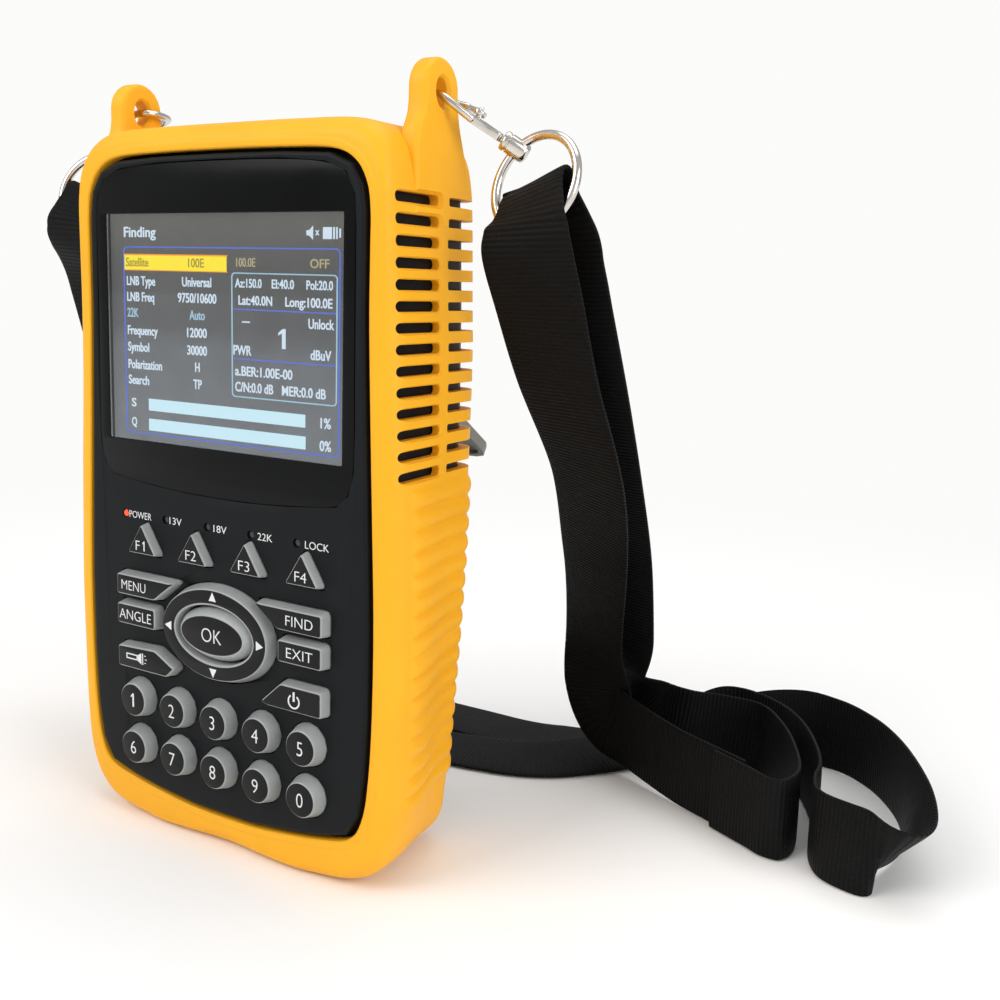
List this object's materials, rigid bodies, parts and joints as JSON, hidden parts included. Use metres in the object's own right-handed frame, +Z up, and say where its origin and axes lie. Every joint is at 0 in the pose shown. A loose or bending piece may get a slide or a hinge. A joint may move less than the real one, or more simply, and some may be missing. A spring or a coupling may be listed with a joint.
{
  "type": "handheld satellite signal meter",
  "caption": "Upright handheld meter in a yellow rubber boot, with colour screen, shaped keypad, rocking pad, connector deck, folding stand and neck strap.",
  "frame": {"origin": "middle of the flat foot on which the meter stands, at half the depth of the boot", "axes": "+Z up along the meter, -Y out of the screen and keypad, +X to the right as the screen is read"},
  "size_m": [0.2288, 0.1452, 0.1812],
  "materials": {
    "yellow_rubber": "satin moulded rubber",
    "black_case": "fine matte texture",
    "grey_case": "fine matte texture",
    "clear_lens": "gloss",
    "screen_glass": "gloss",
    "key_plastic": "satin",
    "soft_mat": "matte silicone",
    "board_green": "solder mask",
    "light_pipe": "clear gloss",
    "bright_steel": "polished",
    "nickel": "plated",
    "battery_wrap": "shrink film",
    "webbing": "ribbed webbing"
  },
  "bodies": {
    "meter": {"protective_boot": "yellow_rubber", "front_shell": "black_case", "rear_shell": "grey_case", "screen_lens": "clear_lens", "lcd_panel": "screen_glass", "keypad_mat": "soft_mat", "keypad_board": "board_green", "main_board": "board_green", "light_bar": "light_pipe", "tuner_can": "nickel", "battery_pack": "battery_wrap", "battery_cover": "grey_case", "cover_screw": "bright_steel", "speaker": "black_case", "f_socket": "nickel", "f_nut": "nickel", "torch_lens": "light_pipe", "power_jack": "black_case", "video_port": "nickel", "data_port": "nickel", "av_jack": "black_case", "kickstand_pin": "bright_steel", "case_screw_top_right": "bright_steel", "case_screw_top_left": "bright_steel", "case_screw_bottom_right": "bright_steel", "case_screw_bottom_left": "bright_steel", "right_swivel": "bright_steel", "right_ring": "bright_steel", "right_strap": "webbing", "left_swivel": "bright_steel", "left_ring": "bright_steel", "left_strap": "webbing"},
    "kickstand": {"kickstand": "grey_case"},
    "key_0": {"key_0": "key_plastic"},
    "key_1": {"key_1": "key_plastic"},
    "key_2": {"key_2": "key_plastic"},
    "key_3": {"key_3": "key_plastic"},
    "key_4": {"key_4": "key_plastic"},
    "key_5": {"key_5": "key_plastic"},
    "key_6": {"key_6": "key_plastic"},
    "key_7": {"key_7": "key_plastic"},
    "key_8": {"key_8": "key_plastic"},
    "key_9": {"key_9": "key_plastic"},
    "key_f1": {"key_f1": "key_plastic"},
    "key_f2": {"key_f2": "key_plastic"},
    "key_f3": {"key_f3": "key_plastic"},
    "key_f4": {"key_f4": "key_plastic"},
    "key_menu": {"key_menu": "key_plastic"},
    "key_find": {"key_find": "key_plastic"},
    "key_angle": {"key_angle": "key_plastic"},
    "key_exit": {"key_exit": "key_plastic"},
    "key_torch": {"key_torch": "key_plastic"},
    "key_power": {"key_power": "key_plastic"},
    "key_ok": {"key_ok": "key_plastic"},
    "dpad_gimbal": {"dpad_gimbal": "key_plastic"},
    "dpad_ring": {"dpad_ring": "key_plastic"},
    "right_hook": {"right_hook": "bright_steel"},
    "right_gate": {"right_gate": "bright_steel"},
    "left_hook": {"left_hook": "bright_steel"},
    "left_gate": {"left_gate": "bright_steel"}
  },
  "joints": [
    {"name": "kickstand_hinge", "type": "hinge", "parent": "meter", "child": "kickstand", "pos_m": [0, 0.01645, 0.1195], "axis": [1, 0, 0], "range_deg": [-57, 15]},
    {"name": "key_0_press", "type": "slide", "parent": "meter", "child": "key_0", "axis": [0, 1, 0], "range_m": [0, 0.0008], "stiffness_N_per_m": 400},
    {"name": "key_1_press", "type": "slide", "parent": "meter", "child": "key_1", "axis": [0, 1, 0], "range_m": [0, 0.0008], "stiffness_N_per_m": 400},
    {"name": "key_2_press", "type": "slide", "parent": "meter", "child": "key_2", "axis": [0, 1, 0], "range_m": [0, 0.0008], "stiffness_N_per_m": 400},
    {"name": "key_3_press", "type": "slide", "parent": "meter", "child": "key_3", "axis": [0, 1, 0], "range_m": [0, 0.0008], "stiffness_N_per_m": 400},
    {"name": "key_4_press", "type": "slide", "parent": "meter", "child": "key_4", "axis": [0, 1, 0], "range_m": [0, 0.0008], "stiffness_N_per_m": 400},
    {"name": "key_5_press", "type": "slide", "parent": "meter", "child": "key_5", "axis": [0, 1, 0], "range_m": [0, 0.0008], "stiffness_N_per_m": 400},
    {"name": "key_6_press", "type": "slide", "parent": "meter", "child": "key_6", "axis": [0, 1, 0], "range_m": [0, 0.0008], "stiffness_N_per_m": 400},
    {"name": "key_7_press", "type": "slide", "parent": "meter", "child": "key_7", "axis": [0, 1, 0], "range_m": [0, 0.0008], "stiffness_N_per_m": 400},
    {"name": "key_8_press", "type": "slide", "parent": "meter", "child": "key_8", "axis": [0, 1, 0], "range_m": [0, 0.0008], "stiffness_N_per_m": 400},
    {"name": "key_9_press", "type": "slide", "parent": "meter", "child": "key_9", "axis": [0, 1, 0], "range_m": [0, 0.0008], "stiffness_N_per_m": 400},
    {"name": "key_f1_press", "type": "slide", "parent": "meter", "child": "key_f1", "axis": [0, 1, 0], "range_m": [0, 0.0008], "stiffness_N_per_m": 400},
    {"name": "key_f2_press", "type": "slide", "parent": "meter", "child": "key_f2", "axis": [0, 1, 0], "range_m": [0, 0.0008], "stiffness_N_per_m": 400},
    {"name": "key_f3_press", "type": "slide", "parent": "meter", "child": "key_f3", "axis": [0, 1, 0], "range_m": [0, 0.0008], "stiffness_N_per_m": 400},
    {"name": "key_f4_press", "type": "slide", "parent": "meter", "child": "key_f4", "axis": [0, 1, 0], "range_m": [0, 0.0008], "stiffness_N_per_m": 400},
    {"name": "key_menu_press", "type": "slide", "parent": "meter", "child": "key_menu", "axis": [0, 1, 0], "range_m": [0, 0.0008], "stiffness_N_per_m": 400},
    {"name": "key_find_press", "type": "slide", "parent": "meter", "child": "key_find", "axis": [0, 1, 0], "range_m": [0, 0.0008], "stiffness_N_per_m": 400},
    {"name": "key_angle_press", "type": "slide", "parent": "meter", "child": "key_angle", "axis": [0, 1, 0], "range_m": [0, 0.0008], "stiffness_N_per_m": 400},
    {"name": "key_exit_press", "type": "slide", "parent": "meter", "child": "key_exit", "axis": [0, 1, 0], "range_m": [0, 0.0008], "stiffness_N_per_m": 400},
    {"name": "key_torch_press", "type": "slide", "parent": "meter", "child": "key_torch", "axis": [0, 1, 0], "range_m": [0, 0.0008], "stiffness_N_per_m": 400},
    {"name": "key_power_press", "type": "slide", "parent": "meter", "child": "key_power", "axis": [0, 1, 0], "range_m": [0, 0.0008], "stiffness_N_per_m": 400},
    {"name": "key_ok_press", "type": "slide", "parent": "meter", "child": "key_ok", "axis": [0, 1, 0], "range_m": [0, 0.0008], "stiffness_N_per_m": 400},
    {"name": "dpad_left_right", "type": "hinge", "parent": "meter", "child": "dpad_gimbal", "pos_m": [0.0003, -0.01605, 0.0535], "axis": [0, 0, 1], "range_deg": [-2.5, 2.5], "stiffness_Nm_per_rad": 0.2},
    {"name": "dpad_up_down", "type": "hinge", "parent": "dpad_gimbal", "child": "dpad_ring", "pos_m": [0.0003, -0.01605, 0.0535], "axis": [1, 0, 0], "range_deg": [-2.5, 2.5], "stiffness_Nm_per_rad": 0.2},
    {"name": "right_hook_turn", "type": "hinge", "parent": "meter", "child": "right_hook", "pos_m": [0.0442, 0.00005, 0.1742], "axis": [0.7261, 0.4462, -0.5231], "range_deg": [-10, 10]},
    {"name": "right_gate_hinge", "type": "hinge", "parent": "right_hook", "child": "right_gate", "pos_m": [0.05111, 0.0058, 0.169], "axis": [0.5296, 0.1223, 0.8394], "range_deg": [0, 12], "stiffness_Nm_per_rad": 0.02},
    {"name": "left_hook_turn", "type": "hinge", "parent": "meter", "child": "left_hook", "pos_m": [-0.0442, 0.00005, 0.1742], "axis": [-0.7261, 0.4462, -0.5231], "range_deg": [-10, 10]},
    {"name": "left_gate_hinge", "type": "hinge", "parent": "left_hook", "child": "left_gate", "pos_m": [-0.05111, 0.0058, 0.169], "axis": [-0.5296, 0.1223, 0.8394], "range_deg": [0, 12], "stiffness_Nm_per_rad": 0.02}
  ]
}
